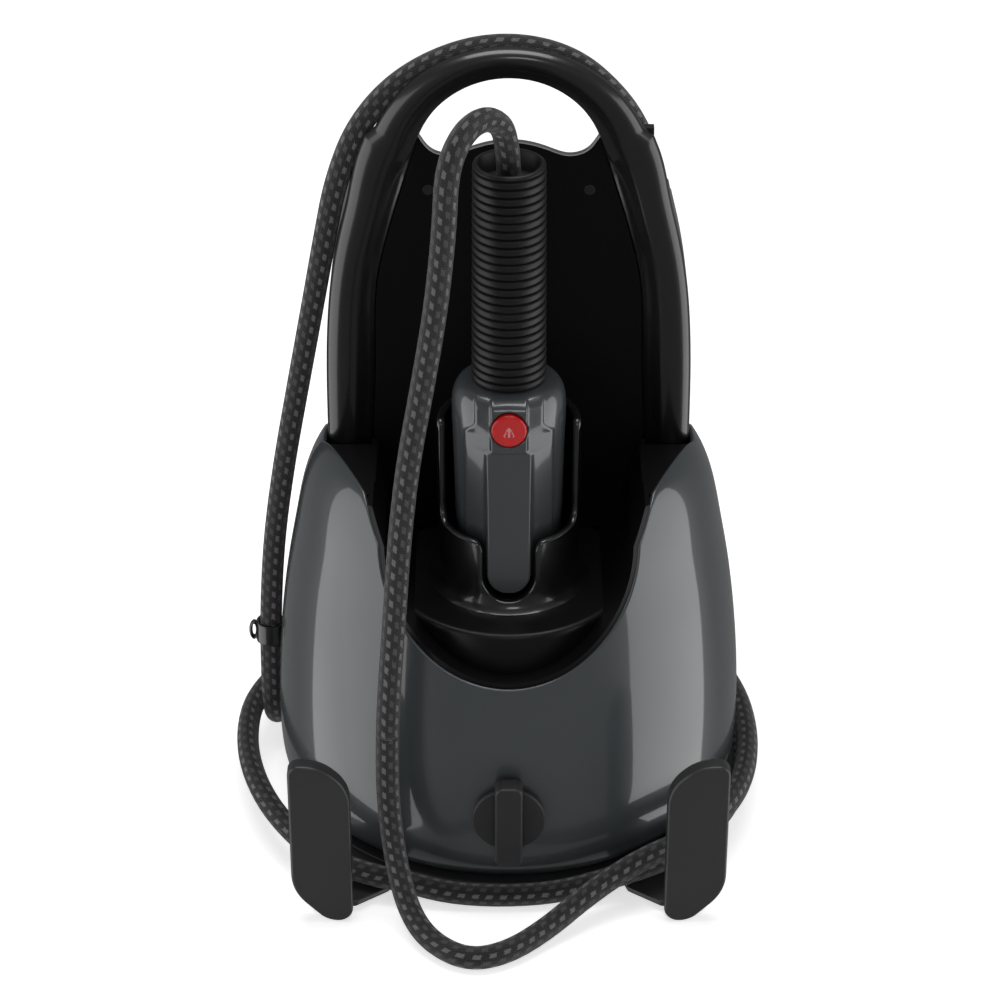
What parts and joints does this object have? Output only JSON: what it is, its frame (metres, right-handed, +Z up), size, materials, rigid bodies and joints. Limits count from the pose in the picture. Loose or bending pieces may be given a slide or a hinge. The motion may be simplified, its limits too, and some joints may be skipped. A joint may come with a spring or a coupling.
{
  "type": "wallpaper steamer",
  "caption": "Egg-shaped steam machine with a docked steam head, a carrying arch, hose hooks and a wound steam hose.",
  "frame": {"origin": "on the floor, under the middle of the base", "axes": "+X to the right when you look at its front, +Y towards its back, +Z up"},
  "size_m": [0.3026, 0.3263, 0.4551],
  "materials": {
    "shell_grey": "moulded, glossy",
    "trim_black": "moulded, glossy",
    "liner_black": "moulded, satin",
    "hook_dark": "moulded, satin",
    "panel_black": "moulded, matte",
    "head_grey": "moulded, glossy",
    "button_red": "moulded, glossy",
    "grip_rubber": "ribbed, soft",
    "hose_braid": "braided over rubber",
    "screw_steel": "zinc plated",
    "tank_smoke": "translucent, smoke tinted",
    "boiler_alu": "die cast",
    "brass_parts": "turned",
    "inner_black": "moulded, matt",
    "tube_silicone": "silicone",
    "board_green": "fibreglass board",
    "foot_rubber": "soft, matt"
  },
  "bodies": {
    "base": {"base_tray": "hook_dark", "rubber_feet": "foot_rubber", "base_screws": "screw_steel", "front_left_hook": "hook_dark", "front_right_hook": "hook_dark", "rear_left_hook": "hook_dark", "rear_right_hook": "hook_dark", "body_shell": "shell_grey", "dock_liner": "liner_black", "dock_cup": "trim_black", "handle_front_shell": "trim_black", "handle_rear_shell": "trim_black", "back_panel": "panel_black", "panel_screws": "screw_steel", "rear_cover": "inner_black", "hose_insert": "inner_black", "steam_regulator": "brass_parts", "tank_well": "liner_black", "boiler": "boiler_alu", "heating_element": "screw_steel", "boiler_stand": "inner_black", "thermostat": "inner_black", "thermal_fuse": "inner_black", "safety_valve": "brass_parts", "steam_valve": "inner_black", "pump_pad": "foot_rubber", "water_pump": "inner_black", "control_board": "board_green", "terminal_block": "inner_black", "mains_gland": "foot_rubber", "outlet_fitting": "trim_black", "feed_tube": "tube_silicone", "pressure_tube": "tube_silicone", "steam_tube": "tube_silicone", "hose_main": "hose_braid", "hose_clip": "trim_black"},
    "knob": {"control_knob": "liner_black"},
    "handpiece": {"head_front_shell": "head_grey", "head_rear_shell": "head_grey", "head_screws": "screw_steel", "trigger_valve": "brass_parts", "button_spring": "screw_steel", "grip_sleeve": "grip_rubber", "grip_core": "inner_black", "hose_collet": "inner_black", "steam_pipe": "brass_parts", "steam_nozzle": "brass_parts", "hose_riser": "hose_braid"},
    "button": {"steam_button": "button_red"},
    "tank": {"water_tank": "tank_smoke"},
    "tank_closure": {"tank_cap": "trim_black"}
  },
  "joints": [
    {"name": "knob_turn", "type": "hinge", "parent": "base", "child": "knob", "pos_m": [0, -0.12, 0.057], "axis": [0, 1, 0], "range_deg": [0, 240]},
    {"name": "handpiece_lift", "type": "slide", "parent": "base", "child": "handpiece", "axis": [0, 0, 1], "range_m": [0, 0.115], "deforming": ["hose_riser"]},
    {"name": "button_press", "type": "slide", "parent": "handpiece", "child": "button", "axis": [0, 1, 0], "range_m": [0, 0.002], "stiffness_N_per_m": 800, "springref_m": -0.003, "deforming": ["button_spring"]},
    {"name": "tank_lift", "type": "slide", "parent": "base", "child": "tank", "axis": [0, 0, 1], "range_m": [0, 0.12]},
    {"name": "cap_turn", "type": "hinge", "parent": "tank", "child": "tank_closure", "pos_m": [0, 0.069, 0.335], "axis": [0, 0, 1], "range_deg": [0, 90]}
  ]
}
